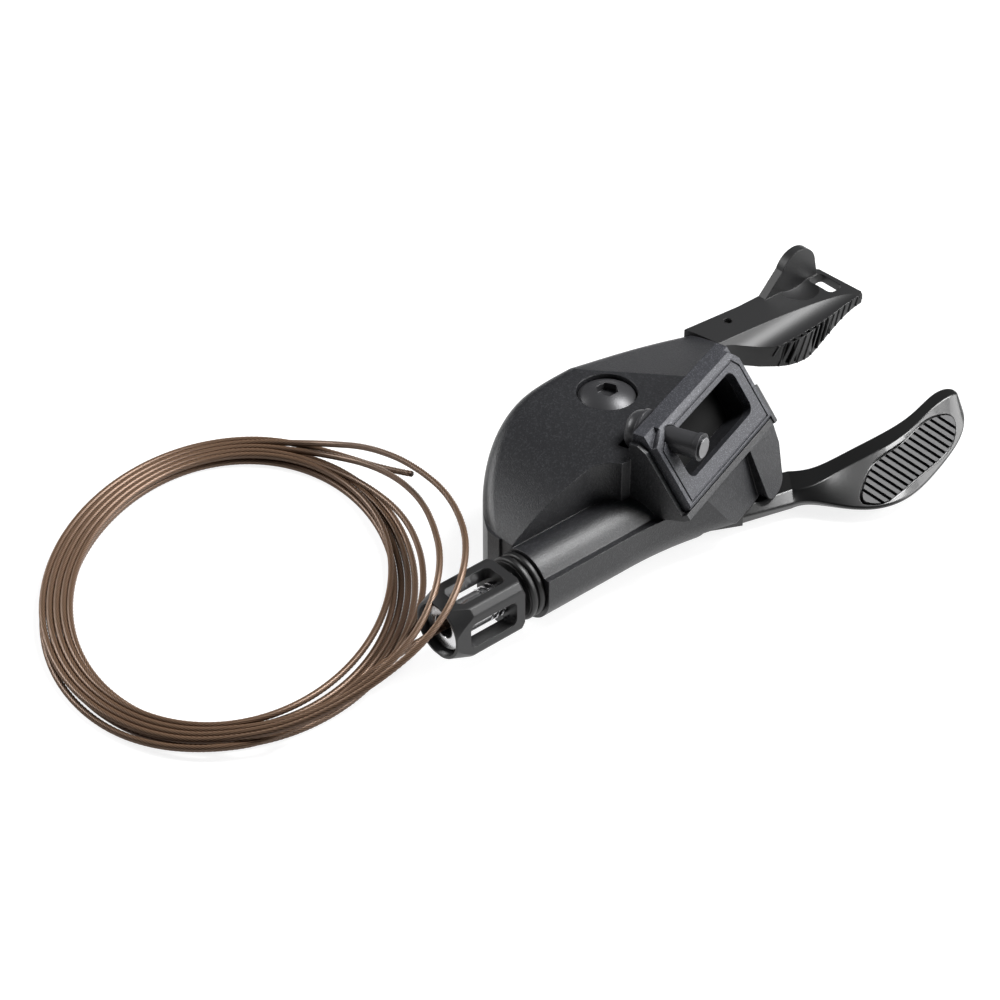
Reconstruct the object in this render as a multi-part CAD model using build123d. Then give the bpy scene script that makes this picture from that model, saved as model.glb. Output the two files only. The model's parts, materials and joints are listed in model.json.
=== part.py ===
from build123d import *
from math import atan2, cos, degrees, hypot, radians, sin, sqrt, tan
import os

# Right-hand trigger gear shifter that lies on its flat underside. Millimetres, +Z up along the main
# axle, +X along the cable line from the barrel adjuster towards the levers, +Y away from the rider.
# The origin is the foot of the main axle on the resting plane.

# Clearances
RUN_FIT = 0.05          # a shaft turning in its hole
SEAT_GAP = 0.15         # a fixed piece dropped into its pocket
SWEEP_GAP = 0.4         # between a moving piece and what it passes
BOLT_GAP = 0.1          # a shank in its hole

# Stack of the mechanism along the main axle
FLOOR_T = 2.0           # underside cover where the body stands on it
FLOOR_RECESS = 0.6      # sunk floor under the levers
ARM_T = 3.0             # main lever arm
LEVER_PLATE_T = 1.6     # steel plate riveted on the arm
RATCHET_T = 1.4         # each toothed plate
DRUM_T = 4.1            # cable reel
PLATE_LIFT = 0.6        # base plate above the upper ratchet
BASE_PLATE_T = 1.6
RELEASE_ARM_T = 1.4
NUT_T = 2.0
MECHANISM_ROOM = 1.2    # free height over the release arm

FLOOR_TOP = FLOOR_T - FLOOR_RECESS
ARM_Z0 = FLOOR_TOP + SWEEP_GAP
ARM_Z1 = ARM_Z0 + ARM_T
LEVER_PLATE_Z0 = ARM_Z1 - LEVER_PLATE_T
DRIVE_Z0 = ARM_Z1 + SWEEP_GAP
DRUM_Z0 = DRIVE_Z0 + RATCHET_T
DRUM_Z1 = DRUM_Z0 + DRUM_T
POSITION_Z1 = DRUM_Z1 + RATCHET_T
PLATE_Z0 = POSITION_Z1 + PLATE_LIFT
PLATE_Z1 = PLATE_Z0 + BASE_PLATE_T
RELEASE_Z0 = PLATE_Z1 + SWEEP_GAP
RELEASE_Z1 = RELEASE_Z0 + RELEASE_ARM_T
CAVITY_TOP = RELEASE_Z1 + MECHANISM_ROOM

# Cable and reel
CABLE_R = 0.6
REEL_PITCH_R = 12.0     # cable line on the reel
REEL_FLANGE = 0.8       # flange beyond the cable line
GROOVE_DEPTH = 1.1      # groove below the cable line
GROOVE_W = 2.0
CABLE_Y = -REEL_PITCH_R
CABLE_Z = DRUM_Z0 + DRUM_T / 2
HEAD_R = 1.5            # cast head on the cable's end
HEAD_L = 3.0
REEL_HOLLOW_R = 8.0
REEL_FLOOR = 1.2        # web under the spring
HUB_BORE_R = 3.0        # bore of everything that turns on the axle bush

# Axle
AXLE_R = 2.4
AXLE_FOOT_R = 5.5
BUSH_R = HUB_BORE_R - RUN_FIT
NUT_AF = 7.0

# Ratchets and pawls
RATCHET_R = 11.0
TOOTH_DEPTH = 1.1
DRIVE_TEETH = 24
POSITION_TEETH = 24
PAWL_PIN_R = 1.1
PAWL_EYE_R = 2.3
PAWL_TIP_GAP = 0.45
PAWL_NOSE_W = 1.2
PAWL_SPAN = 22.0        # nose ahead of its pin, round the axle
SPRING_STRIP = 0.5      # spring wire and strip thickness
POSITION_SPRING_Z = DRUM_Z1 - BOLT_GAP - 1.2 * SPRING_STRIP
SPRING_TURNS = 4
SPRING_STEPS = 16       # straight pieces in each turn
FEED_PAWL_ANGLE = -14.0      # seat of the feed pawl's pin round the axle
FEED_PAWL_R = RATCHET_R + 5.6
POSITION_PAWL_ANGLE = 28.0
POSITION_PAWL_R = RATCHET_R + 5.4

# Body
ROOF_T = 5.7
BODY_TOP = CAVITY_TOP + ROOF_T
BODY_CROWN_R = 43.0     # roll-off of the top towards the cable outlet
BODY_END_X = -25.8      # cable outlet face
CHANNEL_R = 6.2         # round cable channel
RIDGE_Y = CABLE_Y + 3.3  # wall over the channel
WALL_TOP = 12.4         # front wall beside the channel
SIDE_ROUND = 3.0        # rounding along the top edge
CAVITY_R = REEL_PITCH_R + HEAD_R + 0.5
BOLT_X = 8.0            # domed bolt, also the release lever's pivot
BOLT_Y = 5.0
SEAM_R = 30.0           # end of the body round the pivot
SEAM_GAP = 0.5
FACET_TILT = 14.5       # facet falling from the bolt to the release lever
FACET_TURN = 43.0
FACET_REACH = 6.3       # crease from the bolt
SEAM_ANGLES = (2, 11, 20)
FRONT_ROUND = 6.0       # rounding under the front wall
FLARE_X = -6.0          # front wall turns outwards from here
FRONT_FLARE = 3.2
BRACKET_FOOT_X = 15.2
LUG_X0 = 23.4
LUG_X1 = 29.6
LUG_BACK_Y = CABLE_Y - 3.5
LUG_Z0 = ARM_Z1 + SWEEP_GAP
LUG_TOP = 20.0
LUG_END_X = 32.2        # right side of the lug behind the bracket's corner
LUG_PROUD = 2.6         # lug in front of the wall
LUG_LEAN = 62.0         # slope of the lug's front below the bracket's lip
RIGHT_SIDE = [(31.2, -6.0), (33.5, 0.5)]  # plan of the right side behind the lug
BACK_CURVE = [(24.0, 16.4), (11.0, 16.4), (-4.0, 15.0), (-17.7, 7.7)]  # plan of the back
SIDE_Y = -2.8           # the back curve ends here on the left side
SCOOP_X = -4.0          # end of the scoop over the channel
FAR = 60.0              # past the body on any side
FROM_FOOT = (Align.CENTER, Align.CENTER, Align.MIN)
PAWL_ROOM_X = FEED_PAWL_R + 5.4
PAWL_ROOM_Y0 = -8.5
PAWL_ROOM_Y1 = 11.0
LEVER_ROOM = (-64, 24)  # angles left free for the main lever
RIGHT_LOW = LUG_Z0      # underside of the body over the lever's hub
END_LOW = RIGHT_LOW + 1.4  # underside of the right end, where the lever starts to rise
END_ROOM = (-17, 24)
FRONT_ROOM_Y = CABLE_Y + 4.6  # roof of the mechanism is low in front of this
FRONT_ROOM_TOP = POSITION_Z1 + 0.5
SILL_Y = -9.6           # in front of this the body closes under the reel
END_BULGE = 0.4         # left wall beyond the cable outlet

# Domed bolt
DOME_R = 5.15
DOME_H = 1.6
DOME_RIM = 0.7
DOME_SUNK = 1.5         # depth of the head's seat
DOME_BORE = 0.3         # ring gap round the head
SHANK_R = 2.4
SOCKET_AF = 3.6

# Bracket on the body
BRACKET_TURN = 19.0     # its length against the cable line
BRACKET_X = -3.1
BRACKET_Y = CABLE_Y + 0.1
BRACKET_START = 2.2     # left end of the plate along the bracket
BRACKET_END = 33.2
BASE_START = 1.0        # ends of the resin base under it
BASE_END = 34.3
CHEEK_FROM = 8.0        # cheek beside the plate's right end, from here down the face
LEDGE_Z = BODY_TOP + 3.0
LEDGE_W = 3.4
FACE_TILT = 55.0        # slope of the clamping face
FACE_W = 14.4
FACE_PLATE_T = 1.8
BRACKET_TOP_T = 1.5
BEVEL = 0.6
CORNER_DROP = 1.8       # cut corners of the plate, down its ends
CORNER_RUN = (3.4, 1.4)  # and along its top edge, left and right
CORNER_T = 1.2
RIM = 0.9               # rim outside the groove round the plate
RIM_GROOVE_W = 0.3
RIM_GROOVE_D = 0.3
OVERHANG_Q = 6.4        # foot of the wedge at its left end
FOOT_Q = 14.6           # foot of the leaning front wall
LIP = 1.3               # resin lip below the plate
WINDOW_L = 23.6
WINDOW_W = 8.5
WINDOW_ROUND = 1.8
WINDOW_AT = 17.8        # middle of the window along the bracket
WINDOW_DROP = 6.4       # middle of the window below the face's top edge
POCKET_DEPTH = 5.8
CLAMP_AT = 7.2          # clamp bolt along the bracket
CLAMP_Z = LEDGE_Z - 1.4
CLAMP_RISE = 4.0
CLAMP_R = 2.2
CLAMP_HEAD_R = 3.6
CLAMP_HEAD_H = 2.6
CLAMP_L = 11.2
CLAMP_TIP_R = 2.45
CLAMP_TIP_L = 1.3
CLAMP_STEP = 0.4
CLAMP_WASHER_R = 4.0
CLAMP_WASHER_T = 0.6

# Main lever. Each section: place and heading in plan, reach in front, to the crease and behind, then the
# heights of its foot, front edge and crease over the arm's underside and the thickness at the back
LEVER_REST_ANGLE = -39.0
LEVER_HUB_R = 8.0
TONGUE_W = 6.4
TONGUE_L = 25.5
RIVET_R = 1.3
RIVETS = (19.6, 23.4)
LEVER_RISE = 7.8        # highest edge over the arm's underside
LEVER_ARM = [
    (13.6, -11.0, -39, 5.0, -4.2, 5.0, 0.0, 2.4, ARM_T, ARM_T),
    (22.0, -15.6, -39, 4.5, -3.0, 4.5, 0.0, 1.9, ARM_T, ARM_T),
]
LEVER_PADDLE = [
    (31.4, -18.7, -38, 4.2, -1.6, 4.2, 0.0, 1.6, ARM_T, ARM_T),
    (36.2, -22.1, -36, 4.4, -0.6, 4.2, 0.0, 1.3, 4.0, 3.2),
    (42.6, -26.0, -30, 6.8, 2.4, 6.5, 0.0, 1.0, 5.4, 3.2),
    (51.4, -27.3, -29, 7.4, 2.3, 6.2, 0.3, 1.0, 6.9, 3.1),
    (60.3, -25.6, -25, 6.9, 2.0, 5.1, 1.1, 1.0, 7.4, 2.9),
    (66.2, -24.2, -18, 5.6, 1.0, 3.9, 2.3, 1.0, LEVER_RISE, 2.6),
    (69.6, -23.4, -15, 2.6, 0.2, 1.8, 3.8, 0.9, 7.5, 2.0),
]
EDGE_ROUND = 0.45
PAD_L = 27.2
PAD_W = 7.3
PAD_SHIFT = (-1.6, -0.95)  # its middle from the middle of the paddle's face
PAD_RIB_TURN = 20.0
PAD_SUNK = 0.8
PAD_PROUD = 0.3
PAD_RIBS = 17
PAD_GROOVE = 0.3        # gap between the pad and its recess

# Release lever
RELEASE_ANGLE = 11.0
RELEASE_ROOM = 9.0      # arm's swing to either side, with room to spare
RELEASE_HUB_R = 4.4
RELEASE_ARM_W = 6.0
RELEASE_ARM_L = 42.0
RELEASE_PIN_AT = 37.5
RELEASE_BAND_X = 45.5   # ribbed band starts here
RIB_DEPTH = 0.5
RIB_LEAN = 20.0
RIB_LIP = 0.5           # smooth edge below the ribs
SCOOP_RISE = 4.0        # axis of the scoop over the top at its root
SCOOP_TILT = 5.2        # the scoop runs out towards the tip
TIP_RISE_L = 16.0       # underside rises over this length to the tip
TIP_T = 1.2             # tip's thickness there
TIP_WINDOW = (3.4, 6.0)
TIP_WINDOW_AT = (3.1, 5.1)  # its middle from the tip and from the back
FIN_X = 63.3            # middle of the fin's round top
FIN_FOOT = (53.2, 69.0)
DISH_R = 8.0
RELEASE_LOW = ARM_Z0 + LEVER_RISE + 2.0
ROOT_RISE = 2.2         # underside higher at the root
RELEASE_TOP = RELEASE_Z1 + 1.9
RELEASE_TIP_X = 70.6
RELEASE_BACK_Y = 14.3
RELEASE_FRONT_Y = 0.9
RELEASE_WAIST_Y = 6.5   # front of the waist between the seam and the ribs
SCOOP_R = 6.1
FIN_T = 1.8
FIN_H = 7.4
FIN_R = 4.5
RELEASE_PIN_R = 0.85
RELEASE_RIBS = 15

# Barrel adjuster
BOOT_L = 3.2
BOOT_END = BODY_END_X - BOOT_L
KNOB_GAP = 1.2
KNOB_X1 = BOOT_END - KNOB_GAP
KNOB_L = 14.8
KNOB_X0 = KNOB_X1 - KNOB_L
KNOB_TIP_R = 5.3
KNOB_R = 6.6
KNOB_FLAT = 5.2
KNOB_CORNER = 1.6
KNOB_BORE = 3.6
KNOB_WINDOW_W = 5.0
KNOB_RING = 1.8
KNOB_TIP = 3.0          # closed stretch at the tip
BARREL_RINGS = 3
BOOT_RIBS = 2
BARREL_R = 3.0
BARREL_SUNK = 1.4       # its end inside the knob's tip
BARREL_LIP = 0.7
BARREL_X0 = KNOB_X0 + BARREL_SUNK
BARREL_BORE = 1.2
SLEEVE_R = 4.4
SLEEVE_L = 8.5
SLEEVE_X1 = BODY_END_X + SLEEVE_L
CAP_R = 3.0
CAP_T = 2.2
BOOT_R = 5.8
CASING_R = 2.15         # socket for the outer casing's ferrule
CASING_DEPTH = 8.0

# Free cable: a lead out of the adjuster, an oval coil on the floor and two loose turns over the adjuster
COIL_X = -59.1
COIL_Y = 26.4
COIL_TURN = 49.4        # long side of the oval
COIL_LONG = 41.6
COIL_SHORT = 33.4
COIL_BAND = 7.6
COIL_H = 3.2
LOOSE_START = (-76.0, -6.0)
LOOSE_OVER = (-36.6, -10.5, 19.0)
LOOSE_END = (-33.0, 47.0)
LOOSE_W = 6.4
LOOSE_T = 2.0
LEAD_POINTS = [(-55.5, -12.1, 8.2), (-62.5, -11.8, 6.4), (-69.5, -11.0, 3.6)]

# Underside cover
LID_X1 = 25.0
LID_Y0 = -10.2
SCREWS = [(-19.0, -4.6), (20.5, 12.8), (5.5, 14.3)]
SCREW_HEAD_R = 1.9
SCREW_HEAD_H = 1.1
SCREW_R = 0.95
SCREW_L = 6.0


def disc(radius, z0, z1, x=0.0, y=0.0):
    return Pos(x, y, z0) * Cylinder(radius, z1 - z0, align=FROM_FOOT)


def ring(outer, inner, z0, z1, x=0.0, y=0.0):
    return disc(outer, z0, z1, x, y) - disc(inner, z0, z1, x, y)


def block(x0, x1, y0, y1, z0, z1):
    return Pos(x0, y0, z0) * Box(x1 - x0, y1 - y0, z1 - z0, align=(Align.MIN, Align.MIN, Align.MIN))


def rod_x(radius, x0, x1, y=CABLE_Y, z=CABLE_Z):
    upright = Cylinder(radius, x1 - x0, align=FROM_FOOT)
    return Pos(x0, y, z) * Rot(0, 90, 0) * upright


def polar(radius, angle):
    return (radius * cos(radians(angle)), radius * sin(radians(angle)))


def prism(points, z0, z1):
    return Pos(0, 0, z0) * extrude(make_face(Polyline(*points, close=True)), z1 - z0)


def sector(radius, angle0, angle1, z0, z1, x=0.0, y=0.0):
    """A wedge of a disc between two angles."""
    reach = radius * 1.6
    middle = (angle0 + angle1) / 2
    corners = [(0, 0), polar(reach, angle0), polar(reach, middle), polar(reach, angle1)]
    return disc(radius, z0, z1, x, y) & (Pos(x, y, 0) * prism(corners, z0, z1))


# Frame of the bracket: length along the body, across it outwards, and up
BRACKET_PLANE = Plane(
    origin=(BRACKET_X, BRACKET_Y, 0),
    x_dir=(sin(radians(BRACKET_TURN)), -cos(radians(BRACKET_TURN)), 0),
    z_dir=(cos(radians(BRACKET_TURN)), sin(radians(BRACKET_TURN)), 0),
)
FACE_Q = LEDGE_W + 0.3
FACE_Z = LEDGE_Z + BRACKET_TOP_T
FACE_RUN = cos(radians(FACE_TILT))
FACE_FALL = sin(radians(FACE_TILT))
SECTION_UP = BRACKET_PLANE.y_dir.Z


def bracket_profile(points, start, end):
    """Extrudes a section, given as distance across and height, along the bracket."""
    drawn = [BRACKET_PLANE.from_local_coords(Vector(q, z * SECTION_UP, start)) for q, z in points]
    return extrude(make_face(Polyline(*drawn, close=True)), end - start, dir=BRACKET_PLANE.z_dir)


def on_face(across, depth):
    """Point of the section at a distance down the clamping face and a depth behind it."""
    return (
        FACE_Q + across * FACE_RUN - depth * FACE_FALL,
        FACE_Z - across * FACE_FALL - depth * FACE_RUN,
    )


def face_plane():
    """Plane on the clamping face: x along the bracket, z out of the face, origin in the window's middle."""
    across, height = on_face(WINDOW_DROP, 0)
    middle = BRACKET_PLANE.from_local_coords(Vector(across, height * SECTION_UP, WINDOW_AT))
    outward = BRACKET_PLANE.x_dir * FACE_FALL + Vector(0, 0, 1) * FACE_RUN
    return Plane(origin=middle, x_dir=BRACKET_PLANE.z_dir, z_dir=outward)


def window_cut(depth):
    opening = face_plane() * RectangleRounded(WINDOW_L, WINDOW_W, WINDOW_ROUND)
    return extrude(opening, depth, both=True)


def plate_outline(inset):
    """Outline of the clamping face, drawn in by a distance, with its two upper corners cut."""
    left = BRACKET_START + inset - WINDOW_AT
    right = BRACKET_END - inset - WINDOW_AT
    top = WINDOW_DROP - inset
    low = WINDOW_DROP - FACE_W + inset
    corners = [
        (left, low), (right, low), (right, top - CORNER_DROP), (right - CORNER_RUN[1], top),
        (left + CORNER_RUN[0], top), (left, top - CORNER_DROP),
    ]
    return face_plane() * make_face(Polyline(*corners, close=True))


def plate_corner(end, run):
    """Material cut off an upper corner of the plate, at one end and along the top edge from there."""
    at = end - WINDOW_AT
    top = WINDOW_DROP + 2 * BEVEL
    low = WINDOW_DROP - CORNER_DROP
    corner = [(at - run, low), (at, low), (at + run, WINDOW_DROP), (at + run, top), (at - run, top)]
    return extrude(face_plane() * make_face(Polyline(*corner, close=True)), CORNER_T, both=True)


def clamp_rod(radius, start, end):
    """A rod on the clamp bolt's axis, measured from the bracket's back towards the bolt's tip."""
    seat = BRACKET_PLANE.from_local_coords(Vector(0, CLAMP_Z * SECTION_UP, CLAMP_AT))
    rise = radians(CLAMP_RISE)
    axis = Plane(origin=seat, z_dir=BRACKET_PLANE.x_dir * cos(rise) + Vector(0, 0, 1) * sin(rise))
    rod = Cylinder(radius, end - start, align=FROM_FOOT)
    return axis * Pos(0, 0, start) * rod


def bracket():
    """Cast frame: a top flange and a sloping plate with the clamping window."""
    section = [
        (0, LEDGE_Z),
        (0, FACE_Z),
        (FACE_Q - BEVEL, FACE_Z),
        on_face(BEVEL, 0),
        on_face(FACE_W - BEVEL, 0),
        on_face(FACE_W, BEVEL),
        on_face(FACE_W, FACE_PLATE_T),
        on_face(FACE_PLATE_T, FACE_PLATE_T),
        (LEDGE_W - FACE_PLATE_T, LEDGE_Z),
    ]
    frame = bracket_profile(section, BRACKET_START, BRACKET_END)
    frame -= window_cut(POCKET_DEPTH)
    frame -= plate_corner(BRACKET_START, CORNER_RUN[0]) + plate_corner(BRACKET_END, -CORNER_RUN[1])
    frame -= extrude(plate_outline(RIM) - plate_outline(RIM + RIM_GROOVE_W), RIM_GROOVE_D, both=True)
    frame -= clamp_rod(CLAMP_R + BOLT_GAP, -CLAMP_HEAD_H, CLAMP_L)
    return frame


def bracket_base():
    """Resin wedge that carries the bracket, with a lip below its plate."""
    section = [
        (0, LEDGE_Z),
        (LEDGE_W - FACE_PLATE_T, LEDGE_Z),
        on_face(FACE_PLATE_T, FACE_PLATE_T),
        on_face(FACE_W + SEAT_GAP, FACE_PLATE_T),
        on_face(FACE_W + SEAT_GAP, BEVEL),
        on_face(FACE_W + LIP, BEVEL),
        on_face(FACE_W + LIP, BEVEL + LIP),
        (OVERHANG_Q, WALL_TOP),
        (OVERHANG_Q, WALL_TOP - LIP),
        (0, WALL_TOP - LIP),
    ]
    cheek = [
        on_face(CHEEK_FROM, RIM_GROOVE_D), on_face(FACE_W + LIP, RIM_GROOVE_D),
        on_face(FACE_W + LIP, BEVEL + LIP), on_face(CHEEK_FROM, BEVEL + FACE_PLATE_T),
    ]
    at_end = bracket_profile(cheek, BRACKET_END + SEAT_GAP, BASE_END)
    return bracket_profile(section, BASE_START, BASE_END) + at_end


def crown_cut():
    """What is taken off above the top, which rolls down to the cable outlet."""
    drop = BODY_CROWN_R - sqrt(BODY_CROWN_R**2 - BODY_END_X**2)
    middle = polar(BODY_CROWN_R, 105)
    low = BODY_TOP - drop
    crown = ThreePointArc(
        (BODY_END_X, 0, low), (middle[0], 0, BODY_TOP - BODY_CROWN_R + middle[1]), (0, 0, BODY_TOP)
    )
    outside = BODY_END_X - CHANNEL_R
    above = [(0, BODY_TOP), (FAR, BODY_TOP), (FAR, FAR), (outside, FAR), (outside, low), (BODY_END_X, low)]
    over = Polyline(*[(x, 0, z) for x, z in above])
    return extrude(make_face(crown + over), FAR, both=True)


def facet_plane():
    """Plane of the facet that falls from the crease by the bolt to the release lever."""
    turn = radians(FACET_TURN)
    tilt = radians(FACET_TILT)
    return Plane(
        origin=(BOLT_X + FACET_REACH * cos(turn), BOLT_Y + FACET_REACH * sin(turn), BODY_TOP),
        x_dir=(-sin(turn), cos(turn), 0),
        z_dir=(sin(tilt) * cos(turn), sin(tilt) * sin(turn), cos(tilt)),
    )


def on_back_rim(edge):
    """True for the top edges along the left and back of the body."""
    middle = edge.center()
    behind = middle.Y > BACK_CURVE[0][1] - 7 or (middle.X < -12 and middle.Y > SIDE_Y)
    at_seam = hypot(middle.X - BOLT_X, middle.Y - BOLT_Y) > SEAM_R - 2 and middle.X > BOLT_X
    return behind and not at_seam and middle.Z > WALL_TOP and edge.length > SIDE_ROUND


def channel_cut():
    """Space over the round cable channel, in front of the ridge."""
    ridge = Line((BODY_END_X - 5, RIDGE_Y), (SCOOP_X - 5, RIDGE_Y))
    turn = TangentArc((SCOOP_X - 5, RIDGE_Y), (SCOOP_X, CABLE_Y), tangent=(1, 0))
    sides = Polyline(
        (SCOOP_X, CABLE_Y), (SCOOP_X + 8, CABLE_Y), (SCOOP_X + 8, -FAR),
        (BODY_END_X - 5, -FAR), (BODY_END_X - 5, RIDGE_Y)
    )
    return Pos(0, 0, WALL_TOP) * extrude(make_face(ridge + turn + sides), FAR)


def slope_cut():
    """Space in front of the bracket's base, down to the leaning front wall."""
    section = [
        (0, FAR),
        (0, LEDGE_Z),
        (LEDGE_W - FACE_PLATE_T, LEDGE_Z),
        on_face(FACE_PLATE_T, FACE_PLATE_T),
        on_face(FACE_W + LIP, FACE_PLATE_T),
        (FOOT_Q, RIGHT_LOW),
        (FAR, RIGHT_LOW),
        (FAR, FAR),
    ]
    return bracket_profile(section, -FAR / 4, FAR)


def round_pivot(angle, radius=None):
    """Plan point at an angle round the release lever's pivot."""
    reach = polar(SEAM_R if radius is None else radius, angle)
    return (BOLT_X + reach[0], BOLT_Y + reach[1])


def body_plan():
    """Plan of the body: straight front with a flare, rounded end at the seam, bowed back."""
    front_y = CABLE_Y - CHANNEL_R
    side_x = BODY_END_X - END_BULGE
    corner = (BRACKET_FOOT_X, front_y - FRONT_FLARE)
    front = Line((BODY_END_X, front_y), (FLARE_X, front_y))
    flare = Spline((FLARE_X, front_y), corner, tangents=[(1, 0), (1, -0.3)])
    right = Polyline(
        corner, (LUG_X0, front_y), (LUG_X1, LUG_BACK_Y), *RIGHT_SIDE, round_pivot(SEAM_ANGLES[0])
    )
    end = ThreePointArc(*[round_pivot(a) for a in SEAM_ANGLES])
    back = Spline(round_pivot(SEAM_ANGLES[2]), *BACK_CURVE, (side_x, SIDE_Y))
    left = Polyline(
        (side_x, SIDE_Y), (side_x, CABLE_Y + CHANNEL_R),
        (BODY_END_X, CABLE_Y + CHANNEL_R - END_BULGE), (BODY_END_X, front_y)
    )
    return make_face(front + flare + right + end + back + left)


def body_shell():
    """Outer form of the body without the bracket base and the lug."""
    front_y = CABLE_Y - CHANNEL_R
    shell = Pos(0, 0, FLOOR_T) * extrude(body_plan(), BODY_TOP - FLOOR_T)
    shell -= crown_cut()
    shell -= facet_plane() * Box(3 * FAR, 3 * FAR, FAR, align=FROM_FOOT)
    shell = fillet(shell.edges().filter_by(on_back_rim), SIDE_ROUND)
    low = shell.faces().sort_by(Axis.Z)[0].edges()
    low = low.filter_by(lambda e: e.center().Y < front_y + 0.1)
    sill = low.filter_by(lambda e: e.center().X < LUG_X0 - 6)
    shell = fillet(sill, FRONT_ROUND)
    shell -= channel_cut()
    shell -= slope_cut()
    shell += rod_x(CHANNEL_R, BODY_END_X, SCOOP_X + 4)
    return shell


def lug():
    """Rounded lug at the right end, where a new cable is fed in."""
    foot_y = CABLE_Y - CHANNEL_R
    plan = [
        (LUG_X0, foot_y + 3),
        (LUG_X0 + 1, foot_y - LUG_PROUD),
        (LUG_X1 - 2.2, foot_y - LUG_PROUD),
        (LUG_X1 + 0.6, foot_y + 0.6),
        (LUG_END_X, CABLE_Y - CAP_R + BEVEL),
        (LUG_END_X, CABLE_Y + CAP_R),
        (LUG_X0, CABLE_Y + CAP_R),
    ]
    lump = prism(plan, LUG_Z0, LUG_TOP)
    lump = fillet(lump.edges().filter_by(Axis.Z).sort_by(Axis.Y)[:3], 1.4)
    low = lump.faces().sort_by(Axis.Z)[0].edges().filter_by(lambda e: e.center().Y < foot_y + 2)
    return fillet(low, 1.2)


def cavity():
    """Room for the mechanism, its arms and the cable."""
    room = disc(CAVITY_R, 0, CAVITY_TOP) - block(-FAR, FAR, -FAR, FRONT_ROOM_Y, FRONT_ROOM_TOP, FAR)
    room -= block(-FAR, FAR, -FAR, SILL_Y, 0, ARM_Z1)
    room += block(0, PAWL_ROOM_X, PAWL_ROOM_Y0, PAWL_ROOM_Y1, 0, PLATE_Z1 + SEAT_GAP)
    room += disc(RELEASE_HUB_R + SWEEP_GAP, PLATE_Z1, CAVITY_TOP, BOLT_X, BOLT_Y)
    half = RELEASE_ARM_W / 2 + SWEEP_GAP
    for angle in (RELEASE_ANGLE - RELEASE_ROOM, RELEASE_ANGLE, RELEASE_ANGLE + RELEASE_ROOM):
        slot = block(0, FAR, -half, half, RELEASE_Z0 - SWEEP_GAP, RELEASE_Z1 + SWEEP_GAP)
        room += Pos(BOLT_X, BOLT_Y, 0) * Rot(0, 0, angle) * slot
    room += sector(FAR, *LEVER_ROOM, 0, RIGHT_LOW) + sector(FAR, *END_ROOM, 0, END_LOW)
    room += rod_x(SLEEVE_R, BODY_END_X, SLEEVE_X1) + rod_x(2 * CABLE_R, SLEEVE_X1, 0)
    cap_x = LUG_END_X - CAP_T
    room += rod_x(HEAD_R + SWEEP_GAP, 0, cap_x) + rod_x(CAP_R, cap_x, FAR)
    room += disc(SHANK_R + BOLT_GAP, CAVITY_TOP, FAR, BOLT_X, BOLT_Y)
    room += disc(DOME_R + DOME_BORE, BODY_TOP - DOME_SUNK, FAR, BOLT_X, BOLT_Y)
    room += clamp_rod(CLAMP_R + BOLT_GAP, 0, CLAMP_L)
    room += clamp_rod(CLAMP_WASHER_R + SEAT_GAP, -CLAMP_HEAD_H - CLAMP_WASHER_T - SEAT_GAP, 0)
    for x, y in SCREWS:
        room += disc(SCREW_R, 0, SCREW_L + 1, x, y)
    return room


def bracket_room():
    """Space the bracket's plate takes, out in front of it and down the lug's leaning front."""
    lip = on_face(FACE_W + LIP, BEVEL)
    foot = lip[0] + (lip[1] - LUG_Z0) / tan(radians(LUG_LEAN))
    section = [
        (0, LEDGE_Z), (LEDGE_W - FACE_PLATE_T, LEDGE_Z), on_face(FACE_PLATE_T, FACE_PLATE_T),
        on_face(FACE_W + SEAT_GAP, FACE_PLATE_T), on_face(FACE_W + SEAT_GAP, BEVEL), lip,
        (foot, LUG_Z0), (FAR, LUG_Z0), (FAR, FAR), (0, FAR),
    ]
    return bracket_profile(section, 0, BASE_END + LIP)


def upper_cover():
    """Moulded body: cable channel, ridge, crowned top, bracket base and right-hand lug."""
    body = body_shell() + bracket_base() + (lug() - bracket_room())
    body -= cavity()
    body -= window_cut(POCKET_DEPTH)
    return body


def lower_cover():
    """Flat underside lid with a sunk floor under the levers."""
    lid = extrude(body_plan(), FLOOR_T)
    lid &= block(-FAR, LID_X1, LID_Y0, FAR, -FLOOR_T, 2 * FLOOR_T)
    lid = chamfer(lid.faces().sort_by(Axis.Z)[0].edges(), BEVEL)
    lid -= disc(CAVITY_R - SEAT_GAP, FLOOR_TOP, 2 * FLOOR_T)
    lid -= sector(FAR, *LEVER_ROOM, FLOOR_TOP, 2 * FLOOR_T)
    for x, y in SCREWS:
        lid -= disc(SCREW_R + BOLT_GAP, -FLOOR_T, 2 * FLOOR_T, x, y)
        lid -= disc(SCREW_HEAD_R + SEAT_GAP, -FLOOR_T, SCREW_HEAD_H + SEAT_GAP, x, y)
    return lid


def cover_screws():
    """Three equal screws that hold the lid to the body from below."""
    screws = []
    for x, y in SCREWS:
        head = disc(SCREW_HEAD_R, SEAT_GAP, SCREW_HEAD_H + SEAT_GAP, x, y)
        head -= block(x - SCREW_HEAD_R, x + SCREW_HEAD_R, y - 0.25, y + 0.25, 0, SCREW_HEAD_H / 2)
        screws.append(head + disc(SCREW_R, SCREW_HEAD_H, SCREW_L, x, y))
    return Compound(screws)


def hexagon(across_flats, z0, z1, x=0.0, y=0.0):
    sides = RegularPolygon(across_flats / 2, 6, major_radius=False)
    return Pos(x, y, z0) * extrude(sides, z1 - z0)


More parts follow.
